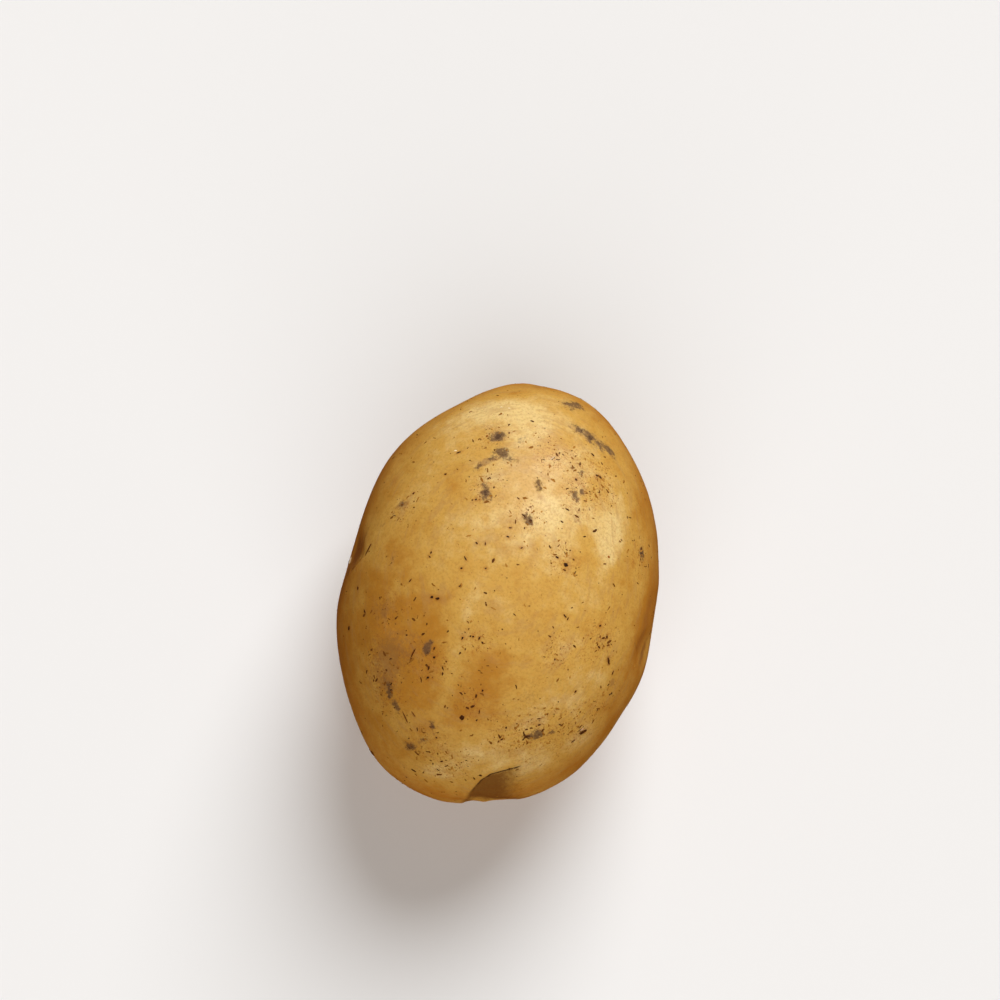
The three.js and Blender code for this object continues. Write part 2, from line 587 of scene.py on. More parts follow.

# %% [markdown]
# ## What lies where on the skin
#
# The colour of a potato's skin isn't even. Some of it is pale and some golden, some is
# rubbed to a dull mauve brown, and soil clings in small smudges. Some of the pale patches
# are also painted highlights, and some dark ones on the lower left and at the edges are
# painted shade. Each of those is one number for each point of the skin, kept as an
# attribute, and the shader gives it its ragged edge. An oval is written as its place on
# the plan, its length and width in millimetres, its turn in degrees and its strength.

# %% Ovals on the skin
Oval = namedtuple("Oval", "x y length width turn strength")
SOIL = [Oval(*values) for values in [
    (-7.2, 28.7, 2.9, 2.5, 35, 0.95), (-5.0, 24.6, 4.2, 2.4, -35, 1.0), (-3.4, 23.6, 1.6, 1.2, -60, 0.7),
    (-6.6, 14.7, 3.2, 2.0, -60, 0.9), (-7.3, 16.6, 2.4, 1.6, 80, 0.6),
    (3.9, 19.1, 2.0, 1.5, 90, 0.85), (7.0, 41.5, 6.0, 3.2, 35, 0.9), (9.3, 35.1, 2.6, 2.2, 10, 0.95),
    (13.0, 33.7, 9.5, 3.4, -22, 0.75), (11.0, 34.6, 3.0, 1.6, -25, 0.8), (16.9, 32.2, 3.4, 2.2, -60, 0.85),
    (3.2, 11.0, 2.6, 1.5, -35, 0.9), (11.6, 18.8, 2.5, 1.6, -45, 0.85), (12.9, 20.2, 1.8, 0.8, -80, 0.7),
    (28.2, 11.8, 3.0, 1.5, -75, 0.8), (-18.4, -28.2, 5.0, 1.6, -80, 0.8), (-16.0, -31.5, 4.0, 1.3, -60, 0.7),
    (-11.5, -38.7, 3.0, 1.7, 10, 0.8), (-8.4, -37.2, 2.4, 1.2, 25, 0.75), (-7.4, -34.2, 3.4, 0.9, -75, 0.6),
    (14.4, -31.2, 2.4, 1.9, 70, 0.9), (12.8, -31.9, 1.8, 0.8, 10, 0.75), (17.0, -30.0, 2.0, 1.3, 40, 0.5),
    (9.8, 24.9, 1.9, 1.5, 20, 0.5), (-2.0, 23.5, 3.0, 1.6, 30, 0.35), (-1.5, 28.8, 3.2, 2.0, 40, 0.4),
    (-9.3, 21.2, 3.4, 1.3, 50, 0.6), (-6.6, 23.2, 3.6, 1.2, 15, 0.6), (-24.0, 10.2, 2.6, 1.6, 25, 0.55),
    (-11.8, -19.1, 3.0, 1.4, 65, 0.95), (12.0, 24.3, 2.2, 1.4, 80, 0.6), (15.4, 16.5, 1.6, 1.0, 20, 0.45),
]]
# Rubbed places; the broad ovals on the lower left are also painted shade, on the side away from the key light
RUBBED_AND_SHADED = [Oval(*values) for values in [
    (-8.6, 21.7, 3.6, 1.5, 50, 0.9), (-6.7, 22.9, 2.4, 1.1, 25, 0.7), (-24.0, 10.2, 3.4, 2.2, 25, 0.8),
    (-27.2, 5.8, 2.4, 1.8, 45, 0.5), (13.2, 13.7, 2.2, 1.8, -30, 0.6), (15.5, 18.0, 3.2, 2.4, -10, 0.5),
    (-11.7, -19.2, 2.4, 1.1, 65, 1.0), (-9.3, -37.6, 3.7, 1.6, 25, 0.6), (25.7, -12.6, 2.4, 0.9, -55, 0.8),
    (27.6, -16.6, 2.2, 1.3, -35, 0.8), (-2.6, -23.3, 3.0, 1.8, -50, 0.45), (-1.5, 45.2, 4.5, 3.2, 5, 0.6),
    (11.0, -25.0, 6.0, 3.6, 25, 0.45), (-0.8, -28.2, 4.2, 2.2, 60, 0.35), (15.4, -13.8, 6.0, 3.4, -5, 0.4),
    (23.1, -9.3, 4.6, 3.0, -25, 0.45), (-22.6, -12.8, 6.0, 4.4, 35, 0.6), (-19.5, -23.0, 16.0, 9.0, 70, 0.75),
    (12.5, -17.0, 4.5, 2.4, -30, 0.35), (-15.0, -20.0, 9.0, 6.0, 75, 0.55), (8.0, 46.0, 5.0, 3.0, 20, 0.5),
]]
# How pale the skin is, as broad ovals; a negative strength is a golden patch. They are
# partly the skin's own tone and partly painted light: the pale ovals near the stem end and
# right of the middle are painted highlights, those at the rose end painted light from
# below, and the strongest negative ones, on the lower left and at the left and right
# edges, are painted shade.
PALE_AND_PAINTED_LIGHT = [Oval(*values) for values in [
    (-5.5, 36.5, 15, 6.0, 5, 0.9), (7.6, 12.5, 9.0, 7.0, -50, 0.9), (4.2, 6.0, 7.0, 3.5, 70, 0.5),
    (21.0, 15.0, 20, 6.0, 80, 0.9), (12.0, 30.0, 12, 8.0, 20, 0.5), (21.5, -18.5, 13, 8.0, 55, 0.6),
    (-13.0, 33.0, 15, 8.0, 35, 0.65), (5.0, -37.5, 28, 8.0, 5, 0.3), (-10.5, 8.0, 22, 5.0, 75, 0.25),
    (2.5, -22.5, 15, 8.0, 75, -0.9), (4.0, -7.0, 14, 8.0, 75, 0.1), (-14.0, 14.0, 24, 4.5, 70, -0.3),
    (-15.0, -24.0, 28, 14, 78, -1.0), (26.0, 4.0, 20, 4.0, 80, -0.3), (10.0, 4.5, 9.0, 6.0, 75, 0.4),
    (14.0, -28.0, 16, 6.0, 25, 0.4), (-6.5, -12.0, 12, 3.5, 80, 0.3), (0.0, 26.0, 34, 22, 0, 0.25),
    (-5.5, -23.0, 14, 2.8, 82, 0.4), (-4.0, 9.0, 15, 9.0, 60, 0.4), (32.0, 2.0, 20, 4.0, 85, -1.0),
    (-33.5, -5.0, 8.0, 3.0, 85, -1.4), (-25.5, -14.0, 28, 8.0, 72, -0.6), (-6.5, -43.0, 14, 5.5, 15, 0.9),
    (15.5, -37.0, 14, 6.0, 25, 0.8), (-3.0, -32.0, 9.0, 6.0, 0, -0.4), (23.0, -29.0, 9.0, 5.0, 50, 0.6),
]]
SOFT_EDGE = 0.4
HALVING = 0.7


def oval_field(points, place, oval):
    """1 at the middle of an oval, a half just outside its edge, and 0 well outside."""
    along, across, out = across_place(points, place, oval.turn)
    length, width = oval.length + SOFT_EDGE, oval.width + SOFT_EDGE
    reach = np.hypot(along / length, across / width) * 2
    return np.exp(-HALVING * reach ** 2) * bell(out, oval.length + 1)


def strongest(points, ovals):
    fields = [o.strength * oval_field(points, from_above(o.x, o.y), o) for o in ovals]
    return np.max(fields, axis=0)


def kept_as(name, values):
    """Keeps one number for each point of the skin as an attribute."""
    layer = skin.data.attributes.new(name, "FLOAT", "POINT")
    layer.data.foreach_set("value", np.asarray(values, dtype=float))
    print(name + ":", round(float(values.min()), 2), "to", round(float(values.max()), 2))


def rising(values, low, high):
    """0 up to low, 1 from high on and a straight slope between."""
    return np.clip((values - low) / (high - low), 0, 1)


skin_points = points_of(skin.data)
skin_heights = skin_points[:, 2] / MM
# 1 on the belly and the lower flanks, and 0 from a little above the widest level on
hidden = 1 - rising(skin_heights, 22, 34)

# %% Stained cheeks
# The two eyes on the cheeks are stained round about. These lie on steep skin, so they are
# placed by their direction from the middle: compass, height, length, width, turn, strength.
STAINED = [
    (180, 18, 8.5, 3.6, 105, 1.0), (179, 22, 6.0, 2.4, 95, 0.8), (175, 25, 6.0, 1.4, 70, 0.6),
    (187, 16, 2.4, 1.6, 90, 0.9), (347, 10, 7.0, 2.2, 75, 0.7), (354, 18, 4.0, 1.6, 70, 0.35),
    (192, 12, 12.0, 2.5, 85, 0.45),
]


def stained_field(points):
    fields = []
    for compass, height, *shape in STAINED:
        oval = Oval(0, 0, *shape)
        fields.append(oval.strength * oval_field(points, from_middle(compass, height), oval))
    return np.max(fields, axis=0)


kept_as("cheek_stain", stained_field(skin_points))

# %% The hidden sides
# The belly and the flanks below have smudges and rubbed places of their own.
wander = noise_field(skin_points, 7, 11) + 0.5 * noise_field(skin_points, 3, 12)
soil = np.maximum(strongest(skin_points, SOIL), hidden * np.clip(2.2 * wander - 0.9, 0, 1))
wander = noise_field(skin_points, 9, 13) + 0.4 * noise_field(skin_points, 3, 14)
rubbed = np.maximum(strongest(skin_points, RUBBED_AND_SHADED), hidden * np.clip(wander - 0.25, 0, 1) * 1.2)
# Pale and golden tone, which carries the painted highlights and painted shade of the broad ovals
pale = 0.25 * noise_field(skin_points, 13, 15)
for oval in PALE_AND_PAINTED_LIGHT:
    pale += oval.strength * oval_field(skin_points, from_above(oval.x, oval.y), oval)
kept_as("soil", soil)
kept_as("rubbed", rubbed)
kept_as("pale", pale)

# %% Painted shade on the flanks
# Steep skin is painted darker and warmer, as painted shade and painted warm light thrown
# back from neighbouring potatoes: all of it above the widest level, and in patches further
# down. The belly gets the least of it.
facing_up = skin_normals[:, 2]
steep = np.clip(1 - facing_up / 0.75, 0, 1) * np.clip(facing_up / 0.5 + 1, 0.35, 1)
patches = np.clip(0.6 + 0.5 * noise_field(skin_points, 14, 16), 0.25, 1)
kept_as("flank", steep * np.maximum(patches, rising(skin_heights, 28, 34)))

# %% Brown and painted shade in the hollows
FOLD_BREADTH = 0.27


def crease_browns(crease, beside, share):
    """The dark line of a crease, and the brown beside it, which is sharper on the brow; both are partly
    painted shade in the crease and the hollow.
    """
    dark = np.clip(np.minimum(begun(crease, share), (1 - share) * 25), 0, 1)
    fold = crease.stain * bell(beside, FOLD_BREADTH) * dark
    above = bell(np.maximum(beside, 0), 0.3 + 1.2 * (1 - dark))
    hollow = 0.7 * crease.stain * bell(np.minimum(beside, 0), 2.0) * above * swell(share)
    return fold, hollow


def rose_end_brown_and_shade(points, beside):
    """Brown and painted shade below the rose end's crease, fading to the right, upwards and downwards."""
    x, y, z = points.T / MM
    sharpness = np.clip((z - 28) / 3, 0.7, 4)
    below = 1 / (1 + np.exp(np.clip(beside * sharpness, -30, 30))) * (y < -30)
    floor = bell(np.maximum(x - 5, 0), 7.0)
    floor = floor * bell(np.minimum(z - 34, 0), 8) * bell(np.maximum(z - 38, 0), 13)
    floor = floor + 0.4 * bell(x - 9, 7) * bell(z - 29, 4)
    return 1.15 * below * floor


browns = [crease_browns(crease, *sides) for crease, sides in zip(creases, crease_sides)]
fold = np.max([fold for fold, hollow in browns], axis=0)
hollow = np.max([hollow for fold, hollow in browns], axis=0)
hollow = np.maximum(hollow, rose_end_brown_and_shade(skin_points, crease_sides[-1][0]))
kept_as("fold", fold)
kept_as("hollow", np.clip(hollow, 0, 1))

# %% The stem scar
# Dark and corky in the middle, and fading outwards
SCAR_BREADTH = 3.0


def scar_field(points):
    along, across, out = across_place(points, SCAR)
    return bell(np.hypot(along, across), SCAR_BREADTH) * bell(out, 4)


kept_as("scar", scar_field(skin_points))

# %% [markdown]
# ## Pores and specks
#
# The dark specks are corky pores and grains of soil, a few tenths of a millimetre long.
# There are more than a thousand, scattered but in loose groups, so Geometry Nodes places
# them: points are strewn over the skin by a density attribute, each gets a small lens
# with a size and a turn of its own, and a little noise makes the lenses ragged. At last
# every point of a lens is pressed towards the skin, so that none stands out at the edge.

# %% How densely the specks lie
# A group is a place on the plan and a reach, in millimetres; densities are specks in a
# square metre.
GROUPS = [
    (-9, 28, 3.2), (-7, 16, 3.4), (14, 26, 5.0), (13, 18, 4.0), (28, 11, 3.5), (23, -10, 4.5),
    (15, -14, 3.8), (-22, -13, 4.5), (-21, -24, 4.5), (-12, -22, 4.5), (0, -28, 3.5), (-18, -30, 3.8),
    (14, -31, 6.0), (-8, -38, 4.5), (-2, -16, 3.0), (22, -28, 4.5), (-24, 9, 3.2), (3, 12, 3.2),
    (12, 4, 3.2), (-2, -41, 4.0), (5, 27, 5.0), (17, 22, 4.0), (8, -33, 4.0), (26, -22, 4.0),
]
LONELY = 70000
GROUPED = 900000
CROWDED = 500000


def speck_density(points):
    """Many specks in the groups and in patches of the hidden sides, and a few elsewhere."""
    patches = noise_field(points, 8, 21)
    density = LONELY * (0.5 + np.clip(patches + 0.3, 0, 1))
    density += GROUPED * 0.8 * hidden * np.clip(patches - 0.25, 0, 1)
    for x, y, reach in GROUPS:
        along, across, out = across_place(points, from_above(x, y))
        density += GROUPED * bell(np.hypot(along, across), reach) * bell(out, reach)
    clear_of_table = rising(points[:, 2] / MM, 1, 2)
    clumps = 0.45 + 1.1 * np.clip(noise_field(points, 1.8, 22) + 0.2, 0, 1)
    return density * clumps * clear_of_table


kept_as("speck_density", speck_density(skin_points))


# %% The node tree that strews specks
LENS_SEGMENTS = 8
LENS_RINGS = 4
RAGGED_LUMPS = 0.45 * MM
PRESSED = 0.6


def strewing_tree(finish):
    tree = bpy.data.node_groups.new("specks on a skin", "GeometryNodeTree")
    tree.interface.new_socket(name="Skin", in_out="INPUT", socket_type="NodeSocketGeometry")
    for name in ("Longest", "Thickness", "Raggedness"):
        tree.interface.new_socket(name=name, in_out="INPUT", socket_type="NodeSocketFloat")
    tree.interface.new_socket(name="Seed", in_out="INPUT", socket_type="NodeSocketInt")
    tree.interface.new_socket(name="Specks", in_out="OUTPUT", socket_type="NodeSocketGeometry")
    wire = Wire(tree)
    group = tree.nodes.new("NodeGroupInput")
    given = {socket.name: Wire(tree, socket) for socket in group.outputs if socket.name}

    density = wire.node("GeometryNodeInputNamedAttribute", {"data_type": "FLOAT"},
                        {"Name": "speck_density"}, "Attribute")
    strewn = wire.node("GeometryNodeDistributePointsOnFaces", {}, {
        "Mesh": given["Skin"], "Density": density, "Seed": given["Seed"],
    }, "Points")
    aligned = Wire(tree, strewn.socket.node.outputs["Rotation"])

    def chance(seed, low=0.0, high=1.0):
        return wire.node("FunctionNodeRandomValue", {"data_type": "FLOAT"},
                         {2: low, 3: high, "Seed": seed}, 1)

    size = chance(1)
    long = given["Longest"] * (size * size * size * 0.8 + 0.2)
    wide = long * chance(2, 0.12, 0.4) + 0.1 * MM
    scale = wire.node("ShaderNodeCombineXYZ", {}, {0: long, 1: wide, 2: given["Thickness"]})
    spin = wire.node("ShaderNodeCombineXYZ", {}, {2: chance(3, 0.0, math.tau)})
    spin = wire.node("FunctionNodeEulerToRotation", {}, {0: spin})
    turned = wire.node("FunctionNodeRotateRotation", {"rotation_space": "LOCAL"},
                       {"Rotation": aligned, "Rotate By": spin})
    lens = wire.node("GeometryNodeMeshUVSphere", {}, {
        "Radius": 0.5, "Segments": LENS_SEGMENTS, "Rings": LENS_RINGS,
    })
    specks = wire.node("GeometryNodeInstanceOnPoints", {}, {
        "Points": strewn, "Instance": lens, "Rotation": turned, "Scale": scale,
    })
    specks = wire.node("GeometryNodeStoreNamedAttribute",
                       {"data_type": "FLOAT", "domain": "INSTANCE"},
                       {"Geometry": specks, "Name": "tone", "Value": chance(4)})
    specks = wire.node("GeometryNodeRealizeInstances", {}, {"Geometry": specks})
    grain = wire.node("ShaderNodeTexNoise", {}, {"Scale": 1 / RAGGED_LUMPS}, "Color")
    grain = wire.node("ShaderNodeVectorMath", {"operation": "SUBTRACT"},
                      {0: grain, 1: (0.5, 0.5, 0.5)})
    grain = wire.node("ShaderNodeVectorMath", {"operation": "SCALE"},
                      {0: grain, "Scale": given["Raggedness"]})
    specks = wire.node("GeometryNodeSetPosition", {}, {"Geometry": specks, "Offset": grain})
    # Every point is then brought more than halfway back onto the skin
    spot = wire.node("GeometryNodeInputPosition")
    below = wire.node("GeometryNodeSampleNearestSurface", {"data_type": "FLOAT_VECTOR"},
                      {"Mesh": given["Skin"], "Value": spot}, "Value")
    pressed = wire.node("ShaderNodeMix", {"data_type": "VECTOR"},
                        {0: PRESSED, 4: spot, 5: below}, 1)
    specks = wire.node("GeometryNodeSetPosition", {}, {"Geometry": specks, "Position": pressed})
    specks = wire.node("GeometryNodeSetMaterial", {}, {"Geometry": specks, "Material": finish})
    wire.node("NodeGroupOutput", {}, {"Specks": specks})
    return tree


# %% Speck material
def paint_specks(name, stops, gloss):
    """Each speck's tone runs along the stops, from 0 to 1."""
    material = bpy.data.materials.new(name)
    wire = new_tree(material)
    where = wire.node("ShaderNodeTexCoord", output="Object")
    tone = wire.node("ShaderNodeAttribute", {"attribute_name": "tone"}, output="Fac")
    color = wire.node("ShaderNodeValToRGB", {"stops": stops}, {"Fac": tone})
    grain = wire.node("ShaderNodeTexNoise", {}, {"Vector": where, "Scale": 1 / (0.25 * MM)})
    color = (grain.ramp(0.5, 0.75) * 0.4).over(color, srgb("#8a5520"))
    bump = wire.node("ShaderNodeBump", {}, {
        "Strength": 0.6, "Distance": 0.05 * MM, "Height": grain,
    })
    surface = wire.node("ShaderNodeBsdfPrincipled", {}, {
        "Base Color": color, "Roughness": gloss, "Normal": bump, "Specular IOR Level": 0.2,
    })
    wire.node("ShaderNodeOutputMaterial", {}, {"Surface": surface})
    return material


speck_finish = paint_specks("corky specks", [
    (0.0, srgb("#3b1c06")), (0.3, srgb("#683c10")), (0.6, srgb("#935f1e")), (1.0, srgb("#b98538")),
], 0.8)
print("finish:", speck_finish.name)

# %% Strewing
SPECK_SIZES = {"Longest": 1.4 * MM, "Thickness": 0.3 * MM, "Raggedness": 0.7 * MM, "Seed": 7}


def strewn_specks():
    specks = bpy.data.objects.new("specks", skin.data.copy())
    bpy.context.collection.objects.link(specks)
    strewing = specks.modifiers.new("strewing", "NODES")
    strewing.node_group = strewing_tree(speck_finish)
    for item in strewing.node_group.interface.items_tree:
        if item.in_out == "INPUT" and item.name in SPECK_SIZES:
            strewing[item.identifier] = SPECK_SIZES[item.name]
    return frozen(specks)


specks = strewn_specks()
print("specks:", len(specks.data.polygons) // (LENS_SEGMENTS * LENS_RINGS))

# %% [markdown]
# ## Larger flakes
#
# Some specks are larger and have a shape one notices: dark pits, short strokes, scabs.
# Each of these is a small domed flake, built as rings of points that are set down on the
# skin one by one, so the flake follows the skin even where it is curved. Its outline is
# an oval that a fixed random draw makes ragged. The same draw strews flakes over the sides
# and the belly, and two more flakes are the corky plug in the stem scar.

# %% Where the flakes lie
# Place on the plan, length, width, turn and tone; 0 is black, 0.4 brown, 0.7 rust, 1 pale
FLAKES = [
    (-14.5, 23.5, 1.2, 0.5, 30, 0.1), (-9.4, 28.5, 0.6, 0.6, 10, 0.6), (-16.1, 18.0, 0.7, 0.5, 5, 0.2),
    (-4.9, 30.0, 0.7, 0.4, -75, 0.3), (6.1, 27.1, 1.2, 0.4, -55, 0.4), (11.3, 26.4, 1.1, 0.4, 80, 0.2),
    (15.3, 25.0, 0.8, 0.6, 0, 0.1), (16.1, 24.8, 0.9, 0.6, -40, 0.1), (13.5, 29.7, 1.1, 0.5, -40, 0.2),
    (11.2, 22.5, 0.8, 0.6, -40, 0.2), (-22.0, 13.0, 0.7, 0.6, 50, 0.3), (-15.2, 0.3, 0.7, 0.4, 80, 0.1),
    (-15.3, -0.6, 0.9, 0.3, -35, 0.2), (-18.3, -6.1, 1.1, 0.3, 55, 0.3), (-29.7, -8.3, 0.8, 0.8, 75, 0.3),
    (-13.0, -8.9, 0.8, 0.6, 10, 0.0), (-11.7, -9.0, 1.1, 0.6, 15, 0.0), (-8.4, 13.1, 0.5, 0.5, 45, 0.1),
    (3.1, 13.8, 0.7, 0.4, 15, 0.5), (3.8, 10.9, 0.9, 0.6, -5, 0.2), (2.2, 11.6, 1.2, 0.4, -35, 0.2),
    (0.0, 8.4, 0.7, 0.3, 10, 0.1), (-0.1, 6.4, 0.7, 0.4, -10, 0.0), (-6.2, 3.8, 0.8, 0.4, -35, 0.2),
    (-4.4, 4.0, 0.9, 0.3, -80, 0.2), (3.2, 4.7, 0.7, 0.3, 45, 0.1), (-7.8, 0.2, 1.1, 0.3, -50, 0.1),
    (-2.0, 0.8, 1.3, 0.6, 75, 0.35), (-8.2, -2.0, 0.6, 0.5, 10, 0.0), (-3.2, -1.1, 0.5, 0.4, 10, 0.1),
    (-7.7, -5.7, 0.8, 0.3, 45, 0.1), (13.0, 14.4, 1.3, 0.4, -20, 0.4), (10.8, 4.6, 1.0, 0.5, -10, 0.15),
    (14.2, 5.1, 0.6, 0.4, -35, 0.3), (12.9, 3.6, 1.1, 1.0, -5, 0.0), (12.8, 2.4, 1.0, 0.4, -10, 0.4),
    (21.3, 8.1, 0.8, 0.5, -30, 0.65), (23.6, 2.7, 1.2, 0.4, -35, 0.4), (-29.9, -16.7, 1.0, 1.0, 65, 0.1),
    (-10.3, -19.1, 0.8, 0.4, 80, 0.0), (-9.9, -20.8, 0.6, 0.5, 10, 0.0), (-10.6, -23.1, 1.1, 0.4, 70, 0.1),
    (-10.4, -25.0, 0.8, 0.6, 50, 0.0), (-21.2, -26.9, 1.2, 0.4, 50, 0.2), (-4.9, -16.0, 0.9, 0.4, 65, 0.0),
    (-2.8, -15.3, 0.5, 0.4, 10, 0.0), (-1.5, -15.4, 0.9, 0.4, 70, 0.1), (1.4, -25.4, 0.6, 0.6, 15, 0.0),
    (0.3, -26.7, 1.0, 0.5, -85, 0.15), (0.0, -28.9, 1.2, 0.5, 40, 0.2), (-1.0, -29.4, 0.9, 0.5, -20, 0.3),
    (-1.7, -31.5, 1.3, 1.1, 70, 0.1), (1.6, -29.6, 1.2, 0.3, -85, 0.2), (1.4, -31.4, 0.6, 0.4, 60, 0.1),
    (7.3, -33.9, 0.8, 0.4, 60, 0.2), (12.5, -32.0, 1.3, 0.5, 15, 0.15), (14.3, -29.3, 0.9, 0.4, 30, 0.2),
    (23.7, -27.9, 2.3, 1.2, 45, 0.2), (22.0, -30.3, 1.3, 0.3, 60, 0.2), (25.8, -12.8, 1.9, 0.6, -50, 0.15),
    (27.2, -14.7, 1.0, 0.4, -85, 0.2), (23.2, -10.8, 1.0, 0.4, -20, 0.2), (24.4, -8.2, 1.0, 0.3, 70, 0.2),
    (22.5, -6.5, 0.7, 0.5, 60, 0.1), (14.9, -6.8, 1.2, 0.3, -30, 0.1), (15.6, -7.2, 0.9, 0.3, 75, 0.1),
    (20.3, -20.9, 0.7, 0.6, 65, 0.3), (-4.2, -40.6, 0.8, 0.4, 30, 0.1), (-14.5, -20.7, 2.4, 0.35, 65, 0.3),
    (-29.2, 0.2, 3.2, 0.35, 62, 0.2), (-33.6, -1.2, 1.8, 0.7, 100, 0.95), (-13.6, -33.4, 3.0, 0.3, -65, 0.35),
    (-11.9, -32.6, 1.8, 0.25, -50, 0.4), (-6.2, -36.3, 0.5, 0.5, 10, 0.1),
]
# Pale flakes; the two at 36.6 mm up are painted glints, small white highlights near the stem end
PALE_FLAKES_AND_GLINTS = [
    (-15.3, 23.9, 0.7, 0.4, 20, 1.0), (5.4, 26.0, 2.2, 0.25, 50, 0.9), (-8.0, 36.6, 0.6, 0.3, 0, 1.0),
    (-6.3, 36.6, 0.5, 0.3, 0, 1.0), (23.3, -27.6, 1.2, 0.5, 45, 0.8),
]
SCAR_PLUG = [(SCAR, 2.6, 2.0, 20, 0.45), (SCAR, 1.2, 1.6, 70, 0.3)]
HIDDEN_FLAKES = 70
LOWEST, HIGHEST = -58, 4
flake_dice = np.random.default_rng(31)


def hidden_flakes():
    """Flakes at random places between two heights, most of them below the widest level."""
    rows = []
    for _ in range(HIDDEN_FLAKES):
        place = from_middle(flake_dice.uniform(0, 360), flake_dice.uniform(LOWEST, HIGHEST))
        length = 0.5 + 1.3 * flake_dice.random() ** 2
        width = length * flake_dice.uniform(0.25, 0.8)
        rows.append((place, length, width, flake_dice.uniform(0, 180), flake_dice.uniform(0, 0.6)))
    return rows


print("flakes:", len(FLAKES) + len(PALE_FLAKES_AND_GLINTS), "on the upper side")


# %% Building flakes
FLAKE_SIDES = 12
TOP_SHARE = 0.7
SUNKEN_RIM = 0.05 * MM
SUNKEN_FOOT = 0.2 * MM


def add_flake(bm, place, length, width, turn, tone, tone_layer):
    """A closed little dome on the skin, with a ragged rim and a smaller ring on top."""
    jag = flake_dice.uniform(0.7, 1.2, FLAKE_SIDES)
    height = min(0.06 + 0.03 * length, 0.12) * MM
    along, across = turned_ways(place, turn)

    def set_down(share, number, lift):
        angle = math.tau * number / FLAKE_SIDES
        reach = share * jag[number]
        offset = along * math.cos(angle) * length / 2 + across * math.sin(angle) * width / 2
        point, normal = body.find_nearest(place.point + offset * reach * MM)[:2]
        vert = bm.verts.new(point + normal * lift)
        vert[tone_layer] = tone
        return vert

    rim = [set_down(1.0, number, -SUNKEN_RIM) for number in range(FLAKE_SIDES)]
    top = [set_down(TOP_SHARE, number, height) for number in range(FLAKE_SIDES)]
    peak = bm.verts.new(place.point + place.normal * 1.3 * height)
    foot = bm.verts.new(place.point - place.normal * SUNKEN_FOOT)
    peak[tone_layer] = foot[tone_layer] = tone
    for number in range(FLAKE_SIDES):
        after = (number + 1) % FLAKE_SIDES
        bm.faces.new((rim[number], rim[after], top[after], top[number]))
        bm.faces.new((top[number], top[after], peak))
        bm.faces.new((rim[after], rim[number], foot))


def flakes_piece(name, rows, finish):
    mesh = bpy.data.meshes.new(name)
    bm = bmesh.new()
    tone_layer = bm.verts.layers.float.new("tone")
    for place, length, width, turn, tone in rows:
        add_flake(bm, place, length, width, turn, tone, tone_layer)
    bm.to_mesh(mesh)
    bm.free()
    mesh.materials.append(finish)
    piece = bpy.data.objects.new(name, mesh)
    bpy.context.collection.objects.link(piece)
    return piece


flake_finish = paint_specks("flakes", [
    (0.0, srgb("#281105")), (0.4, srgb("#633408")), (0.7, srgb("#a8621f")), (1.0, srgb("#fff2cf")),
], 0.6)
dark_flakes = [(from_above(x, y), *shape) for x, y, *shape in FLAKES]
dark_flakes += SCAR_PLUG + hidden_flakes()
pale_flakes_and_glints = [(from_above(x, y), *shape) for x, y, *shape in PALE_FLAKES_AND_GLINTS]
flakes = flakes_piece("flakes", dark_flakes + pale_flakes_and_glints, flake_finish)
print("flakes:", len(flakes.data.polygons), "faces")

# %% Stained skin round the flakes
STAIN_REACH = 0.45


def stain_field(points, rows):
    """A halo round each flake, stronger the darker the flake is."""
    stain = np.zeros(len(points))
    for place, length, width, turn, tone in rows:
        along, across, out = across_place(points, place, turn)
        reach = np.hypot(along / (length / 2 + STAIN_REACH), across / (width / 2 + STAIN_REACH))
        stain = np.maximum(stain, (1 - tone) * np.exp(-0.8 * reach ** 2) * bell(out, 2))
    return stain


kept_as("stain", stain_field(skin_points, dark_flakes))

# %% [markdown]
# ## The skin's finish
#
# The colour is built up in coats, in the order in which they come about. First comes the
# living skin, golden where it is thick and pale where it is thin or waxy, with painted
# highlights in some pale patches and painted shade in some dark ones. Over it go a faint
# netting, painted shade and painted warm light on the flanks, streaks that run round the
# tuber, pores and rusty grain, then rubbed places, stains, and brown in the hollows, the
# creases and the scar, partly painted shade in the hollows and creases.
# Soil lies on top. The edge of a coat is its attribute plus noise, cut at one level, which
# is what makes it ragged. Gloss follows the same masks: wax shines and soil is dull.

# %% The coats
# The pale straw colour also serves for painted highlights, and the tan for painted shade on the lower left,
# at the edges and on the flanks
GOLD = srgb("#d1a550")
STRAW_AND_HIGHLIGHT = srgb("#e8cc8b")
DEEP = srgb("#bc832d")
TAN_AND_SHADE = srgb("#97622a")
# The colour of each coat, and how much of what lies below it hides at most
COATS = {
    "netting": ("#a87430", 0.42),
    # The two flank coats are painted shade and painted warm light on the steep sides
    "tan": ("#ba6c14", 0.75),
    "deep painted flank shade": ("#8f4f12", 0.35),
    "streaks": ("#b58a55", 0.35),
    "pores": ("#8f5420", 0.6),
    "rusty grain": ("#a5662a", 0.8),
    "rubbed": ("#94683c", 0.55),
    "flake stain": ("#a4601c", 0.4),
    "cheek stain": ("#7d431c", 0.8),
    # The hollow and the fold are brown with painted shade, in the hollows and along the creases
    "hollow": ("#6e4016", 0.85),
    "fold": ("#371a0c", 0.9),
    "scar": ("#5b3a1f", 0.85),
    "dust": ("#876544", 0.5),
    "soil": ("#5b422f", 0.7),
    "soil core": ("#3a1f0d", 0.7),
}


def coated(below, name, mask):
    """The colour below with a coat over it, as far as the mask says."""
    color, cover = COATS[name]
    return (mask * cover).over(below, srgb(color))


print("coats:", ", ".join(COATS))


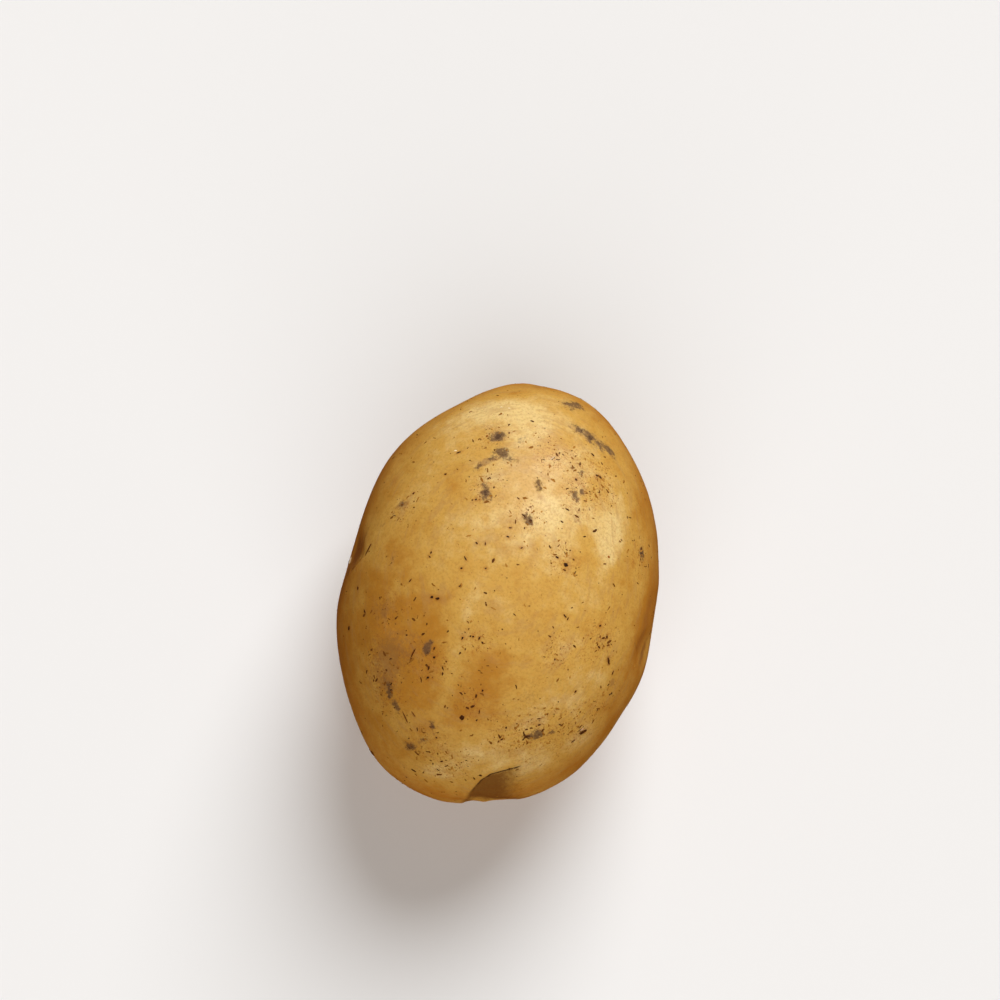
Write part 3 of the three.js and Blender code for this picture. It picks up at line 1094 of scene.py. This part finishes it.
# %% Skin material
def paint_skin():
    material = bpy.data.materials.new("potato skin")
    wire = new_tree(material)
    where = wire.node("ShaderNodeTexCoord", output="Object")

    def cloud(size, detail=2.0, roughness=0.5, vector=where):
        inputs = {"Vector": vector, "Scale": 1 / (size * MM), "Detail": detail,
                  "Roughness": roughness}
        return wire.node("ShaderNodeTexNoise", {}, inputs)

    def kept(name):
        return wire.node("ShaderNodeAttribute", {"attribute_name": name}, output="Fac")

    # Noise that is pressed flat in height, so it runs round the flanks in streaks
    level = wire.node("ShaderNodeMapping", {}, {"Vector": where, "Scale": (0.14, 0.14, 1.0)})
    streaks = cloud(0.9, 3.0, 0.6, level).ramp(0.5, 0.68)

    # The tone: its own pale and golden patches, with painted highlights and painted shade in it
    shade = kept("pale") + (cloud(9, 3.0) - 0.5) * 2.0 + (cloud(2.4, 4.0, 0.6) - 0.5) * 1.3
    # Painted shade on the steep sides darkens the tone as well
    shade = shade - kept("flank") * 0.9
    color = shade.ramp(-2.2, -0.8).over(TAN_AND_SHADE, DEEP)
    color = shade.ramp(-0.9, 0.1).over(color, GOLD)
    color = shade.ramp(0.0, 1.1).over(color, STRAW_AND_HIGHLIGHT)
    netting = cloud(0.55, 3.0, 0.7).ramp(0.42, 0.72)
    color = coated(color, "netting", netting)
    # Painted shade and painted warm light on the steep sides, darkest on the steepest
    color = coated(color, "tan", kept("flank").ramp(0.1, 1.2))
    color = coated(color, "deep painted flank shade", kept("flank").ramp(0.5, 1.1))
    color = coated(color, "streaks", streaks)

    # A few of the cells of a fine foam have a pore in the middle
    cells = {"Vector": where, "Scale": 1 / (1.15 * MM)}
    pores = wire.node("ShaderNodeTexVoronoi", {}, cells, "Distance")
    lucky = wire.node("ShaderNodeTexWhiteNoise", {"noise_dimensions": "3D"}, {
        "Vector": Wire(wire.tree, pores.socket.node.outputs["Position"]),
    }, "Value")
    pores = pores.ramp(0.16, 0.08) * lucky.ramp(0.55, 0.8) * cloud(5).ramp(0.4, 0.55)
    color = coated(color, "pores", pores)

    # Rust-coloured grain shows where the specks lie close together
    crowd = kept("speck_density") * (1 / CROWDED)
    rust = cloud(0.45, 3.0, 0.7).ramp(0.52, 0.66) * crowd.ramp(0.05, 1.0)
    color = coated(color, "rusty grain", rust)

    edge = (cloud(1.1, 4.0, 0.65) - 0.5) * 1.1
    rubbed = (kept("rubbed") + edge).ramp(0.3, 0.75) * kept("rubbed").ramp(0.05, 0.3)
    color = coated(color, "rubbed", rubbed)
    color = coated(color, "flake stain", (kept("stain") + edge * 0.4).ramp(0.2, 0.9))
    # Brown with painted shade in the hollows and the creases
    hollow = (kept("hollow") + edge * 0.5).ramp(0.1, 0.9) * kept("hollow").ramp(0.0, 0.3)
    color = coated(color, "cheek stain", (kept("cheek_stain") + edge * 0.5).ramp(0.15, 0.9))
    color = coated(color, "hollow", hollow)
    color = coated(color, "fold", kept("fold").ramp(0.15, 0.7))
    color = coated(color, "scar", (kept("scar") + edge * 0.5).ramp(0.15, 0.8))

    grit = (cloud(0.55, 5.0, 0.8) - 0.5) * 1.7 + (cloud(1.6, 2.0) - 0.5) * 1.6
    color = coated(color, "dust", (kept("soil") + grit * 0.4).ramp(0.15, 0.95))
    soil = (kept("soil") + grit).ramp(0.42, 0.7) * kept("soil").ramp(0.1, 0.5)
    color = coated(color, "soil", soil)
    core = (kept("soil") + grit * 1.3).ramp(0.85, 1.2) * kept("soil").ramp(0.2, 0.6)
    color = coated(color, "soil core", core)

    dull = soil * 0.3 + rubbed * 0.1 + hollow * 0.12
    roughness = cloud(6, 3.0) * 0.12 + netting * 0.08 + dull + 0.38
    height = cloud(0.6, 4.0, 0.6) * 0.5 + streaks * 0.25 + soil * 0.5 - pores * 0.6
    bump = wire.node("ShaderNodeBump", {}, {
        "Strength": 0.6, "Distance": 0.08 * MM, "Height": height,
    })
    surface = wire.node("ShaderNodeBsdfPrincipled", {}, {
        "Base Color": color, "Roughness": roughness, "Normal": bump,
        "Specular IOR Level": 0.35,
        "Subsurface Weight": 0.12, "Subsurface Scale": 1.5 * MM,
        "Subsurface Radius": (1.0, 0.5, 0.2),
    })
    wire.node("ShaderNodeOutputMaterial", {}, {"Surface": surface})
    return material


skin.data.materials.append(paint_skin())
print("finish:", skin.data.materials[0].name)

# %% [markdown]
# ## Handing over
#
# Every piece rides on the one body, and the skin stands for the imported tuber.

# %% Ride and replace
for piece in (skin, specks, flakes):
    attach(piece, "root")
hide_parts("tuber")
